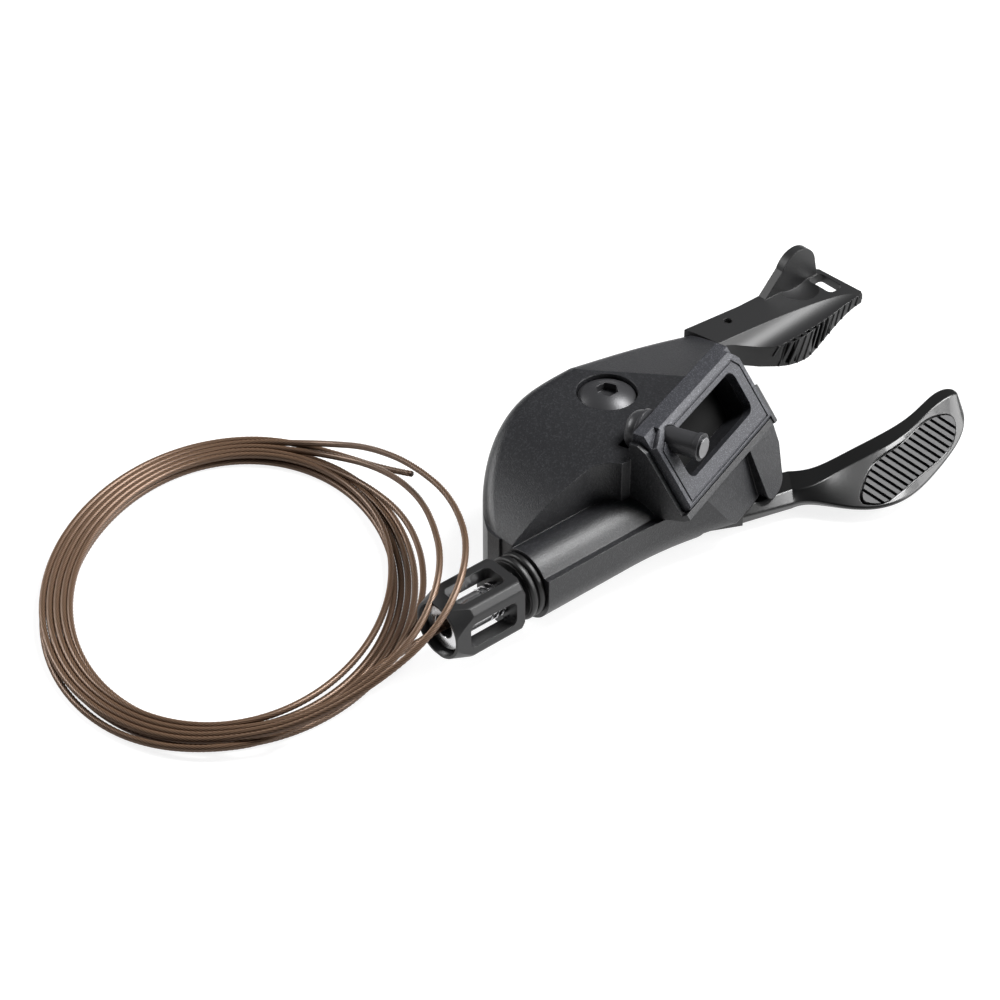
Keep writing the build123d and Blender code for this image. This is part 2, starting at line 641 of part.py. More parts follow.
def cover_bolt():
    """Domed socket bolt that closes the body and carries the release lever."""
    seat = BODY_TOP - DOME_SUNK
    cap_r = (DOME_R**2 + DOME_H**2) / (2 * DOME_H)
    dome = Pos(BOLT_X, BOLT_Y, seat + DOME_RIM + DOME_H - cap_r) * Sphere(cap_r)
    head = dome & disc(DOME_R, seat + DOME_RIM, seat + DOME_RIM + DOME_H, BOLT_X, BOLT_Y)
    head += disc(DOME_R, seat, seat + DOME_RIM, BOLT_X, BOLT_Y)
    head -= hexagon(SOCKET_AF, seat + DOME_RIM, FAR, BOLT_X, BOLT_Y)
    return head + disc(SHANK_R, PLATE_Z0, seat, BOLT_X, BOLT_Y)


def clamp_bolt():
    """Bolt across the bracket's window, domed head behind and a ringed tip in the window."""
    back = -CLAMP_WASHER_T
    head = clamp_rod(CLAMP_HEAD_R, back - CLAMP_HEAD_H, back)
    rims = head.edges().filter_by(GeomType.CIRCLE)
    outer = rims.sort_by_distance(clamp_rod(CLAMP_R, CLAMP_L, CLAMP_L + 1).center())[-1]
    head = fillet(outer, CLAMP_HEAD_H - CLAMP_WASHER_T)
    bolt = head + clamp_rod(CLAMP_R, back, CLAMP_L - CLAMP_TIP_L)
    return bolt + clamp_rod(CLAMP_R - CLAMP_STEP, CLAMP_L - CLAMP_TIP_L, CLAMP_L)


def clamp_stop_ring():
    """Ring that keeps the clamp bolt from falling out of the bracket."""
    width = CLAMP_TIP_L - CLAMP_STEP
    ring_out = clamp_rod(CLAMP_TIP_R, CLAMP_L - CLAMP_TIP_L, CLAMP_L - CLAMP_TIP_L + width)
    return ring_out - clamp_rod(CLAMP_R - CLAMP_STEP, 0, CLAMP_L)


def clamp_washer():
    return clamp_rod(CLAMP_WASHER_R, -CLAMP_WASHER_T, 0) - clamp_rod(CLAMP_R + BOLT_GAP, -CLAMP_WASHER_T, 0)


def cable_hole_cap():
    """Plug in the lug that closes the hole for feeding in a new cable."""
    face_x = LUG_END_X - SEAT_GAP
    cap = rod_x(CAP_R - SEAT_GAP, LUG_END_X - CAP_T, face_x)
    slot = block(face_x - 0.8, face_x, CABLE_Y - CAP_R, CABLE_Y + CAP_R, CABLE_Z - 0.4, CABLE_Z + 0.4)
    return cap - slot


def main_axle():
    """Axle with a foot flange on the lid and a collar under the base plate."""
    axle = disc(AXLE_R, FLOOR_TOP, PLATE_Z1 + NUT_T + BEVEL)
    axle += disc(AXLE_FOOT_R, FLOOR_TOP, FLOOR_TOP + SWEEP_GAP / 2)
    return axle + disc(AXLE_FOOT_R - 1, POSITION_Z1 + PLATE_LIFT / 2, PLATE_Z0)


def lever_bush():
    return ring(BUSH_R, AXLE_R, FLOOR_TOP + SWEEP_GAP / 2, POSITION_Z1 + PLATE_LIFT / 2)


def axle_nut():
    return hexagon(NUT_AF, PLATE_Z1, PLATE_Z1 + NUT_T) - disc(AXLE_R, PLATE_Z1, PLATE_Z1 + NUT_T)


def base_plate():
    """Steel plate between the reel and the release arm, with an ear for the positioning pawl."""
    pin = polar(POSITION_PAWL_R, POSITION_PAWL_ANGLE)
    plate = disc(REEL_PITCH_R, PLATE_Z0, PLATE_Z1)
    ear = SlotCenterToCenter(POSITION_PAWL_R, 2 * PAWL_EYE_R)
    ear_at = Pos(0, 0, PLATE_Z0) * Rot(0, 0, POSITION_PAWL_ANGLE) * Pos(POSITION_PAWL_R / 2, 0, 0)
    plate += ear_at * extrude(ear, BASE_PLATE_T)
    plate -= block(-FAR, FAR, -FAR, FRONT_ROOM_Y + SEAT_GAP, 0, FAR)
    plate -= disc(AXLE_R, 0, FAR)
    plate -= disc(SHANK_R, 0, FAR, BOLT_X, BOLT_Y)
    return plate - disc(PAWL_PIN_R, 0, FAR, *pin)


def reel_pocket():
    """Seat of the cable's head, open at the reel's rim."""
    half = HEAD_R + SEAT_GAP
    return block(
        -HEAD_L / 2 - SEAT_GAP, HEAD_L / 2 + SEAT_GAP, -FAR, CABLE_Y + half, CABLE_Z - half, CABLE_Z + half
    )


def reel():
    """Grooved cable reel with a hollow for its spring and a pocket for the cable's head."""
    drum = disc(REEL_PITCH_R + REEL_FLANGE, DRUM_Z0, DRUM_Z1)
    low = CABLE_Z - GROOVE_W / 2
    groove = ring(REEL_PITCH_R + 2 * REEL_FLANGE, REEL_PITCH_R - GROOVE_DEPTH, low, low + GROOVE_W)
    drum -= groove
    drum -= disc(REEL_HOLLOW_R, DRUM_Z0 + REEL_FLOOR, DRUM_Z1)
    drum -= disc(HUB_BORE_R, DRUM_Z0, DRUM_Z1)
    return drum - reel_pocket()


def ratchet(teeth, z0, lean):
    """Toothed plate with one steep and one long flank on each tooth."""
    points = []
    pitch = 360 / teeth
    for tooth in range(teeth):
        points.append(polar(RATCHET_R, tooth * pitch))
        points.append(polar(RATCHET_R - TOOTH_DEPTH, (tooth + lean) * pitch))
    return prism(points, z0, z0 + RATCHET_T) - disc(HUB_BORE_R, z0, z0 + RATCHET_T)


def reel_spring():
    """Flat spiral spring inside the reel."""
    inner = HUB_BORE_R + SPRING_STRIP
    grow = (REEL_HOLLOW_R - SPRING_STRIP - inner) / SPRING_TURNS
    sides = ([], [])
    for step in range(SPRING_TURNS * SPRING_STEPS + 1):
        angle = 360 * step / SPRING_STEPS
        radius = inner + grow * step / SPRING_STEPS
        sides[0].append(polar(radius - SPRING_STRIP / 2, angle))
        sides[1].append(polar(radius + SPRING_STRIP / 2, angle))
    return prism(sides[0] + sides[1][::-1], DRUM_Z0 + REEL_FLOOR + SWEEP_GAP, DRUM_Z1 - SWEEP_GAP)


def pawl(pin, tip, z0):
    """Pawl with an eye on its pin and a nose that ends just off the teeth."""
    along = degrees(atan2(tip[1] - pin[1], tip[0] - pin[0]))
    length = hypot(tip[0] - pin[0], tip[1] - pin[1])
    nose = [(0, PAWL_EYE_R), (length, PAWL_NOSE_W / 2), (length, -PAWL_NOSE_W / 2), (0, -PAWL_EYE_R)]
    body = Pos(pin[0], pin[1], 0) * Rot(0, 0, along) * prism(nose, z0, z0 + RATCHET_T)
    body += disc(PAWL_EYE_R, z0, z0 + RATCHET_T, *pin)
    return body - disc(PAWL_PIN_R + RUN_FIT, z0, z0 + RATCHET_T, *pin)


def hairpin(pin, z0, facing):
    """Pawl spring: an open coil on the pin with one leg."""
    coil = ring(PAWL_EYE_R - SPRING_STRIP / 2, PAWL_PIN_R, z0, z0 + 1.2 * SPRING_STRIP, *pin)
    coil -= sector(2 * PAWL_EYE_R, facing + 20, facing + 70, z0, z0 + 2 * SPRING_STRIP, *pin)
    outer = PAWL_EYE_R - SPRING_STRIP / 2
    leg = block(0, 1.7 * PAWL_EYE_R, outer - SPRING_STRIP, outer, z0, z0 + 1.2 * SPRING_STRIP)
    return coil + Pos(pin[0], pin[1], 0) * Rot(0, 0, facing) * leg


FEED_PIN = polar(FEED_PAWL_R, FEED_PAWL_ANGLE)
FEED_TIP = polar(RATCHET_R + PAWL_TIP_GAP + PAWL_NOSE_W / 2, FEED_PAWL_ANGLE + PAWL_SPAN)
POSITION_PIN = polar(POSITION_PAWL_R, POSITION_PAWL_ANGLE)
POSITION_TIP = polar(RATCHET_R + PAWL_TIP_GAP + PAWL_NOSE_W / 2, POSITION_PAWL_ANGLE - PAWL_SPAN)


def tongue(margin, z0, z1):
    """Arm of the steel lever plate, also the pocket for it in the lever."""
    bar = block(0, TONGUE_L + margin, -TONGUE_W / 2 - margin, TONGUE_W / 2 + margin, z0, z1)
    return Rot(0, 0, LEVER_REST_ANGLE) * bar


def main_lever_plate():
    plate = disc(LEVER_HUB_R, LEVER_PLATE_Z0, ARM_Z1) + tongue(0, LEVER_PLATE_Z0, ARM_Z1)
    ear = SlotCenterToCenter(FEED_PAWL_R, 2 * PAWL_EYE_R)
    ear_at = Pos(0, 0, LEVER_PLATE_Z0) * Rot(0, 0, FEED_PAWL_ANGLE) * Pos(FEED_PAWL_R / 2, 0, 0)
    plate += ear_at * extrude(ear, LEVER_PLATE_T)
    plate -= disc(HUB_BORE_R, 0, FAR) + disc(PAWL_PIN_R, 0, FAR, *FEED_PIN)
    for reach in RIVETS:
        plate -= disc(RIVET_R, 0, FAR, *polar(reach, LEVER_REST_ANGLE))
    return plate


def lever_rivets():
    return Compound([disc(RIVET_R, ARM_Z0, ARM_Z1, *polar(reach, LEVER_REST_ANGLE)) for reach in RIVETS])


def lever_section(place, points):
    """Rounded cross-section of the lever in a plane across its heading."""
    x, y, heading = place
    across = Plane(
        origin=(x, y, 0),
        x_dir=(-sin(radians(heading)), cos(radians(heading)), 0),
        z_dir=(cos(radians(heading)), sin(radians(heading)), 0),
    )
    up = across.y_dir.Z
    outline = make_face(Polyline(*[(s, z * up) for s, z in points], close=True))
    return across * fillet(outline.vertices(), EDGE_ROUND)


def lever_points(front, crease, back, foot, edge, rise, thick):
    """Five-sided section: foot, front edge, crease, back edge and underside."""
    return [
        (-front + LEVER_ARM[0][7] - edge, ARM_Z0 + foot),
        (-front, ARM_Z0 + foot + edge),
        (crease, ARM_Z0 + rise),
        (back, ARM_Z0 + rise - EDGE_ROUND / 4),
        (back - EDGE_ROUND / 2, ARM_Z0 + rise - thick),
    ]


def main_lever():
    """Thumb lever: flat arm under the body that turns into an inclined paddle."""
    rows = LEVER_ARM[1:] + LEVER_PADDLE
    sections = [lever_section(row[:3], lever_points(*row[3:])) for row in rows]
    lever = loft(sections[:2], ruled=True) + loft(sections[1:])
    edges = ([], [])
    for x, y, heading, front, crease, back, *heights in LEVER_ARM:
        for side, reach in zip(edges, (-front, back)):
            side.append((x - reach * sin(radians(heading)), y + reach * cos(radians(heading))))
    lever += prism(edges[0] + edges[1][::-1], ARM_Z0, ARM_Z1)
    lever -= tongue(SEAT_GAP, LEVER_PLATE_Z0, FAR)
    for reach in RIVETS:
        lever -= disc(RIVET_R, 0, FAR, *polar(reach, LEVER_REST_ANGLE))
    return lever - extrude(pad_outline(0), FAR / 8, dir=pad_plane().z_dir)


def lever_face(row):
    """Middle of the lever's face between its front edge and its crease, and the slope there."""
    x, y, heading = row[:3]
    ends = []
    for across, z in lever_points(*row[3:])[1:3]:
        ends.append(Vector(x - across * sin(radians(heading)), y + across * cos(radians(heading)), z))
    return (ends[0] + ends[1]) / 2, ends[1] - ends[0]


def pad_plane():
    """Plane just under the paddle's face, x along the paddle, z out of the face."""
    start, slope = lever_face(LEVER_PADDLE[2])
    end, slope_end = lever_face(LEVER_PADDLE[5])
    along = (end - start).normalized()
    outward = along.cross((slope + slope_end).normalized()).normalized()
    return Plane(origin=(start + end) / 2 - outward * PAD_SUNK, x_dir=along, z_dir=outward)


def pad_outline(margin):
    """Outline of the ribbed pad: straight along the crease, bowed along the front, with round ends."""
    half = PAD_L / 2 - margin
    wide = PAD_W / 2 - margin
    shares = [
        (-1, -0.45), (-0.86, -0.9), (-0.3, -1.08), (0.35, -1), (0.83, -0.5),
        (1, 0.4), (0.82, 0.88), (0.1, 0.88), (-0.5, 0.92), (-0.82, 0.42),
    ]
    edge = Spline(*[(along * half, across * wide) for along, across in shares], periodic=True)
    return pad_plane() * Pos(*PAD_SHIFT) * make_face(edge)


def main_lever_pad():
    """Ribbed pad let into the paddle."""
    pad = extrude(pad_outline(PAD_GROOVE), PAD_SUNK + PAD_PROUD, dir=pad_plane().z_dir)
    pitch = PAD_L / PAD_RIBS
    for rib in range(1, PAD_RIBS):
        groove = Box(pitch * 0.38, 2 * PAD_W, PAD_PROUD * 4)
        at = Pos(rib * pitch - PAD_L / 2 + PAD_SHIFT[0], PAD_SHIFT[1], PAD_SUNK + PAD_PROUD)
        pad -= pad_plane() * at * Rot(0, 0, PAD_RIB_TURN) * groove
    return pad


def release_arm():
    """Steel arm from the pivot into the release lever."""
    arm = block(0, RELEASE_ARM_L, -RELEASE_ARM_W / 2, RELEASE_ARM_W / 2, RELEASE_Z0, RELEASE_Z1)
    arm = Pos(BOLT_X, BOLT_Y, 0) * Rot(0, 0, RELEASE_ANGLE) * arm
    arm += disc(RELEASE_HUB_R, RELEASE_Z0, RELEASE_Z1, BOLT_X, BOLT_Y)
    arm -= disc(SHANK_R + RUN_FIT, 0, FAR, BOLT_X, BOLT_Y)
    return arm - disc(RELEASE_PIN_R, 0, FAR, *round_pivot(RELEASE_ANGLE, RELEASE_PIN_AT))


def release_pin():
    x, y = round_pivot(RELEASE_ANGLE, RELEASE_PIN_AT)
    return disc(RELEASE_PIN_R, RELEASE_LOW + 1, RELEASE_TOP - RELEASE_PIN_R, x, y)


def release_spring():
    """Torsion spring on the pivot, above the release arm."""
    low = RELEASE_Z1 + SEAT_GAP
    high = CAVITY_TOP - SEAT_GAP
    coil = ring(RELEASE_HUB_R - SPRING_STRIP, SHANK_R + SPRING_STRIP, low, high, BOLT_X, BOLT_Y)
    return coil - sector(2 * RELEASE_HUB_R, 200, 240, 0, FAR, BOLT_X, BOLT_Y)


def main_lever_spring():
    """Return spring of the main lever, round the axle under its plate."""
    inner = HUB_BORE_R + SPRING_STRIP
    coil = ring(inner + 1.6 * SPRING_STRIP, inner, FLOOR_TOP + SWEEP_GAP / 2, LEVER_PLATE_Z0 - SWEEP_GAP / 2)
    return coil - sector(2 * inner, 100, 140, 0, FAR)


def release_fin():
    """Upright finger tab on the back edge of the release lever."""
    base = RELEASE_TOP - FIN_T
    centre = (FIN_X, RELEASE_TOP + FIN_H - FIN_R)
    outline = Polyline(
        (FIN_FOOT[0], 0, base), (centre[0] - FIN_R * 0.94, 0, centre[1] + FIN_R * 0.34),
        (centre[0], 0, centre[1]),
        (centre[0] + FIN_R * 0.94, 0, centre[1] + FIN_R * 0.34),
        (FIN_FOOT[1], 0, base),
        close=True,
    )
    plate = extrude(make_face(outline), FIN_T, dir=(0, -1, 0))
    plate += Pos(centre[0], 0, centre[1]) * Rot(90, 0, 0) * Cylinder(FIN_R, FIN_T, align=FROM_FOOT)
    return Pos(0, RELEASE_BACK_Y, 0) * plate


def release_front(x):
    """Front edge of the release lever in plan: bowed between its root and its tip."""
    share = (x - RELEASE_BAND_X) / (RELEASE_TIP_X - RELEASE_BAND_X)
    return RELEASE_FRONT_Y + 3.2 * (share - 0.45) ** 2


def release_foot(x):
    """Underside of the release lever, which rises towards the tip."""
    share = max(0.0, (x - RELEASE_TIP_X + TIP_RISE_L) / TIP_RISE_L)
    return RELEASE_LOW + share * (RELEASE_TOP - TIP_T - RELEASE_LOW)


def release_ribs():
    """Leaning grooves between the ribs of the release lever's front."""
    pitch = (RELEASE_TIP_X - RELEASE_BAND_X) / RELEASE_RIBS
    grooves = []
    for rib in range(RELEASE_RIBS):
        x = RELEASE_BAND_X + (rib + 0.5) * pitch
        groove = Box(pitch * 0.6, 2 * RIB_DEPTH, RELEASE_TOP - RELEASE_LOW, align=FROM_FOOT)
        grooves.append(Pos(x, release_front(x), release_foot(x) + RIB_LIP) * Rot(0, RIB_LEAN, 0) * groove)
    return grooves


def release_lever():
    """Two-way finger lever: grip face with ribs, scoop above it, tip window and upright fin."""
    root = RELEASE_BACK_Y + 1.2
    front = Spline(
        (SEAM_R + BOLT_X - 4, RELEASE_WAIST_Y),
        (RELEASE_BAND_X - 3.5, RELEASE_WAIST_Y),
        (RELEASE_BAND_X + 0.8, RELEASE_WAIST_Y - 3),
        (RELEASE_BAND_X + 4, release_front(RELEASE_BAND_X + 4)),
        (RELEASE_TIP_X - 12, release_front(RELEASE_TIP_X - 12)),
        (RELEASE_TIP_X - 1, release_front(RELEASE_TIP_X - 1)),
    )
    rest = Polyline(
        (RELEASE_TIP_X - 1, release_front(RELEASE_TIP_X - 1)),
        (RELEASE_TIP_X, release_front(RELEASE_TIP_X) + 1),
        (RELEASE_TIP_X - 0.6, RELEASE_BACK_Y - 1), (RELEASE_TIP_X - 1.4, RELEASE_BACK_Y),
        (RELEASE_BAND_X + 4, RELEASE_BACK_Y), (SEAM_R + BOLT_X - 4, root),
        (SEAM_R + BOLT_X - 4, RELEASE_WAIST_Y),
    )
    lever = Pos(0, 0, RELEASE_LOW) * extrude(make_face(front + rest), RELEASE_TOP - RELEASE_LOW)
    lever -= disc(SEAM_R + SEAM_GAP, 0, FAR, BOLT_X, BOLT_Y)
    rise_x = RELEASE_TIP_X - TIP_RISE_L
    rise = [(rise_x, 0), (rise_x, RELEASE_LOW), (RELEASE_TIP_X, RELEASE_TOP - TIP_T), (RELEASE_TIP_X, 0)]
    root_x = SEAM_R + BOLT_X - 4
    band_x = RELEASE_BAND_X
    step = [(root_x, 0), (root_x, RELEASE_LOW + ROOT_RISE), (band_x, RELEASE_LOW), (band_x, 0)]
    for hollow in (rise, step):
        lever -= extrude(make_face(Polyline(*[(x, 0, z) for x, z in hollow], close=True)), FAR, both=True)
    scoop = Rot(0, 90 - SCOOP_TILT, 0) * Cylinder(SCOOP_R, 2 * FAR)
    lever -= Pos(RELEASE_BAND_X, RELEASE_FRONT_Y + 2, RELEASE_TOP + SCOOP_RISE) * scoop
    lever -= release_ribs()
    window_at = Pos(RELEASE_TIP_X - TIP_WINDOW_AT[0], RELEASE_BACK_Y - TIP_WINDOW_AT[1], 0)
    lever -= extrude(window_at * RectangleRounded(*TIP_WINDOW, 1.0), FAR)
    lever -= Pos(FIN_X - 1, RELEASE_BACK_Y - 3.4, RELEASE_TOP + DISH_R - 0.9) * Sphere(DISH_R)
    lever += release_fin()
    half = RELEASE_ARM_W / 2 + SEAT_GAP
    arm = block(0, RELEASE_ARM_L + SEAT_GAP, -half, half, RELEASE_Z0 - BOLT_GAP, RELEASE_Z1 + BOLT_GAP)
    lever -= Pos(BOLT_X, BOLT_Y, 0) * Rot(0, 0, RELEASE_ANGLE) * arm
    return lever - disc(RELEASE_PIN_R, RELEASE_LOW + 1, FAR, *round_pivot(RELEASE_ANGLE, RELEASE_PIN_AT))


def adjuster_knob():
    """Caged knob: four windows between four bars, a closed ring at the body side and a tapered tip."""
    turned = [
        (KNOB_X0, 0), (KNOB_X0, KNOB_TIP_R), (KNOB_X0 + KNOB_L / 4, KNOB_R), (KNOB_X1 - BEVEL, KNOB_R),
        (KNOB_X1, KNOB_R - BEVEL), (KNOB_X1, 0),
    ]
    knob = revolve(make_face(Polyline(*[(x, 0, r) for x, r in turned], close=True)), Axis.X)
    flats = RectangleRounded(2 * KNOB_FLAT, 2 * KNOB_FLAT, KNOB_CORNER)
    square = Pos(KNOB_X0, 0, 0) * Rot(0, 90, 0) * extrude(flats, KNOB_L)
    knob &= square
    knob -= rod_x(KNOB_BORE, KNOB_X0, KNOB_X1 - KNOB_RING, 0, 0) + rod_x(BARREL_R, KNOB_X0, KNOB_X1, 0, 0)
    knob -= rod_x(KNOB_BORE + 2 * BEVEL, KNOB_X0, BARREL_X0 + BARREL_LIP, 0, 0)
    length = KNOB_L - KNOB_RING - KNOB_TIP
    middle = KNOB_X0 + KNOB_TIP + length / 2
    for side in range(2):
        slot = extrude(RectangleRounded(length, KNOB_WINDOW_W, 1.2), FAR, both=True)
        knob -= Pos(middle, 0, 0) * Rot(90 * side, 0, 0) * slot
    return Pos(0, CABLE_Y, CABLE_Z) * knob


def adjuster_barrel():
    """Threaded barrel that carries the outer casing's end and lets the cable through."""
    barrel = rod_x(BARREL_R, BARREL_X0, SLEEVE_X1 - 2 * SWEEP_GAP)
    barrel += rod_x(KNOB_BORE + BEVEL, BARREL_X0, BARREL_X0 + BARREL_LIP)
    barrel -= rod_x(BARREL_BORE, BARREL_X0, SLEEVE_X1)
    barrel -= rod_x(CASING_R, BARREL_X0, BARREL_X0 + CASING_DEPTH)
    for groove in range(BARREL_RINGS):
        x = KNOB_X1 - KNOB_RING - 1.2 * (groove + 1)
        barrel -= rod_x(BARREL_R + 1, x, x + 0.4) - rod_x(BARREL_R - 0.3, x, x + 0.4)
    return barrel


def adjuster_sleeve():
    return rod_x(SLEEVE_R, BODY_END_X, SLEEVE_X1) - rod_x(BARREL_R + BOLT_GAP, BODY_END_X, SLEEVE_X1)


def adjuster_boot():
    """Rubber boot of rounded rings between the body and the knob."""
    pitch = BOOT_L / BOOT_RIBS
    boot = rod_x(BOOT_R - BEVEL, BOOT_END, BODY_END_X)
    for rib in range(BOOT_RIBS):
        x = BOOT_END + rib * pitch
        rounded = rod_x(BOOT_R, x + pitch * 0.1, x + pitch * 0.9)
        boot += fillet(rounded.edges().filter_by(GeomType.CIRCLE), BEVEL - BOLT_GAP)
    return boot - rod_x(BARREL_R + SWEEP_GAP, BOOT_END, BODY_END_X)


def adjuster_click_ring():
    """Ring that travels with the knob without turning and clicks against it."""
    click = rod_x(SLEEVE_R, KNOB_X1 + BOLT_GAP, KNOB_X1 + SWEEP_GAP + BOLT_GAP)
    return click - rod_x(BARREL_R + BOLT_GAP, KNOB_X1, BODY_END_X)


def cable_head():
    return rod_x(HEAD_R, -HEAD_L / 2, HEAD_L / 2)


def cable_inner_run():
    return rod_x(CABLE_R, BARREL_X0, -HEAD_L / 2 - SEAT_GAP)


def cable_lead():
    """Free cable from the adjuster's tip to the coil."""
    points = [(BARREL_X0, CABLE_Y, CABLE_Z)] + LEAD_POINTS
    radii = []
    for before, at, after in zip(points, points[1:], points[2:]):
        run_in = Vector(*at) - Vector(*before)
        run_out = Vector(*after) - Vector(*at)
        turn = run_in.get_angle(run_out)
        radii.append(0.45 * min(run_in.length, run_out.length) / tan(radians(turn) / 2))
    print("lead radii", [round(r, 1) for r in radii])
    path = FilletPolyline(*points, radius=radii)
    tube = sweep(Plane(origin=path @ 0, z_dir=path % 0) * Circle(CABLE_R), path=path)
    print("lead volume share", round(tube.volume / (3.14159 * CABLE_R**2 * path.length), 4))
    return tube


def cable_coil():
    """Outer shape of the coil on the floor."""
    band = Ellipse(COIL_LONG, COIL_SHORT) - Ellipse(COIL_LONG - COIL_BAND, COIL_SHORT - COIL_BAND)
    coil = extrude(band, COIL_H)
    coil = fillet(coil.edges(), COIL_H / 3)
    return Pos(COIL_X, COIL_Y, 0) * Rot(0, 0, COIL_TURN) * coil


def cable_loose_turns():
    """Outer shape of the two turns that spring up over the adjuster."""
    start = Vector(*LOOSE_START, COIL_H - LOOSE_T)
    over = Vector(*LOOSE_OVER)
    end = Vector(*LOOSE_END, COIL_H - LOOSE_T)
    path = ThreePointArc(start, over, end)
    normal = (over - start).cross(end - over).normalized()
    section = Plane(origin=start, x_dir=normal, z_dir=path % 0) * Rectangle(LOOSE_T, LOOSE_W)
    turns = sweep(section, path=path)
    return turns - block(-4 * FAR, 4 * FAR, -4 * FAR, 4 * FAR, -FAR, COIL_H)


def build():
    """Every piece of the shifter by its node name."""
    return {
        "upper_cover": upper_cover(),
        "lower_cover": lower_cover(),
        "cover_screws": cover_screws(),
        "cover_bolt": cover_bolt(),
        "bracket": bracket(),
        "clamp_bolt": clamp_bolt(),
        "clamp_stop_ring": clamp_stop_ring(),
        "clamp_washer": clamp_washer(),
        "cable_hole_cap": cable_hole_cap(),
        "main_axle": main_axle(),
        "lever_bush": lever_bush(),
        "axle_nut": axle_nut(),
        "base_plate": base_plate(),
        "reel": reel(),
        "drive_ratchet": ratchet(DRIVE_TEETH, DRIVE_Z0, 0.12),
        "position_ratchet": ratchet(POSITION_TEETH, DRUM_Z1, 0.88),
        "reel_spring": reel_spring(),
        "feed_pawl": pawl(FEED_PIN, FEED_TIP, DRIVE_Z0),
        "feed_pawl_pin": disc(PAWL_PIN_R, LEVER_PLATE_Z0, DRUM_Z0 + 3 * SPRING_STRIP, *FEED_PIN),
        "feed_pawl_spring": hairpin(FEED_PIN, DRUM_Z0 + BOLT_GAP, FEED_PAWL_ANGLE - 10),
        "position_pawl": pawl(POSITION_PIN, POSITION_TIP, DRUM_Z1),
        "position_pawl_pin": disc(PAWL_PIN_R, DRUM_Z1 - 3 * SPRING_STRIP, PLATE_Z1, *POSITION_PIN),
        "position_pawl_spring": hairpin(POSITION_PIN, POSITION_SPRING_Z, POSITION_PAWL_ANGLE - 60),
        "main_lever": main_lever(),
        "main_lever_pad": main_lever_pad(),
        "main_lever_plate": main_lever_plate(),
        "main_lever_spring": main_lever_spring(),
        "lever_rivets": lever_rivets(),
        "release_lever": release_lever(),
        "release_arm": release_arm(),
        "release_pin": release_pin(),
        "release_spring": release_spring(),
        "adjuster_knob": adjuster_knob(),
        "adjuster_barrel": adjuster_barrel(),
        "adjuster_sleeve": adjuster_sleeve(),
        "adjuster_boot": adjuster_boot(),
        "adjuster_click_ring": adjuster_click_ring(),
        "cable_head": cable_head(),
        "cable_inner_run": cable_inner_run(),
        "cable_lead": cable_lead(),
        "cable_coil": cable_coil(),
        "cable_loose_turns": cable_loose_turns(),
    }


os.makedirs("parts", exist_ok=True)
for node, shape in build().items():
    export_step(shape, os.path.join("parts", node + ".step"))
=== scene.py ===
import json
import math

import bpy
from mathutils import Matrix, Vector

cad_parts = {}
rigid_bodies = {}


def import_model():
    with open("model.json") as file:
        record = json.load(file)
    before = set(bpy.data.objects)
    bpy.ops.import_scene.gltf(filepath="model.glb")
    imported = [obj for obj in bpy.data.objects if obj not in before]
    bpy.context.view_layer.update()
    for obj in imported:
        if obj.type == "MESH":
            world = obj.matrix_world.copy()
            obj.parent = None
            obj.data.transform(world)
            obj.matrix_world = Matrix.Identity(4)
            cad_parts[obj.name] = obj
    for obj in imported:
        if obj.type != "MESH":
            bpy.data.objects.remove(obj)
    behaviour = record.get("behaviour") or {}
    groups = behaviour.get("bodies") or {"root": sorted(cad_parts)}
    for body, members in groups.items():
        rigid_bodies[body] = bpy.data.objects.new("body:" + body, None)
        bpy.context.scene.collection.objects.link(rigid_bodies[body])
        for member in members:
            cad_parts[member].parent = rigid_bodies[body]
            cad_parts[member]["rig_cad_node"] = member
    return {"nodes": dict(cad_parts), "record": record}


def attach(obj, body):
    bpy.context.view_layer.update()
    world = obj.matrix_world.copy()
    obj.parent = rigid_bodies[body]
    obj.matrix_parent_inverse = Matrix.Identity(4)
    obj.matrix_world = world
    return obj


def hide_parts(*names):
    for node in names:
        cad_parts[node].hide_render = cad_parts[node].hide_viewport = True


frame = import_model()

for spare in [o for o in bpy.data.objects if "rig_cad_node" not in o and not o.name.startswith("body:")]:
    bpy.data.objects.remove(spare)
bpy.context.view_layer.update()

MM = 0.001

# Camera: where it stands, what it looks at, and its lens, in millimetres
CAMERA_AT = (-270.3, -290.8, 315.9)
CAMERA_AIM = (-13.85, 8.36, 8.07)
CAMERA_LENS = 102.6
SENSOR = 36.0
CLIP_START = 10.0

# Studio, in metres. Lamps: where they stand, their sides and their watts
LAMP_AIM = (0.0, 0.0, 0.01)
LAMPS = [
    ("overhead_right", (0.40, -0.12, 0.66), (0.3, 0.3), 8.0),
    ("right_front", (0.56, -0.44, 0.34), (0.6, 0.4), 6.2),
    ("left_back", (-0.32, 0.62, 0.38), (0.4, 0.3), 4.0),
]
ROOM_COLOUR = (0.8, 0.82, 0.85)
ROOM_LIGHT = 0.08
FLOOR_GLOW = 0.84       # what the floor adds to its own shade where it is seen
FLOOR_SHADE = 0.3
FLOOR_SIDE = 1.6
FLOOR_DROP = 0.0002     # the floor below the resting plane

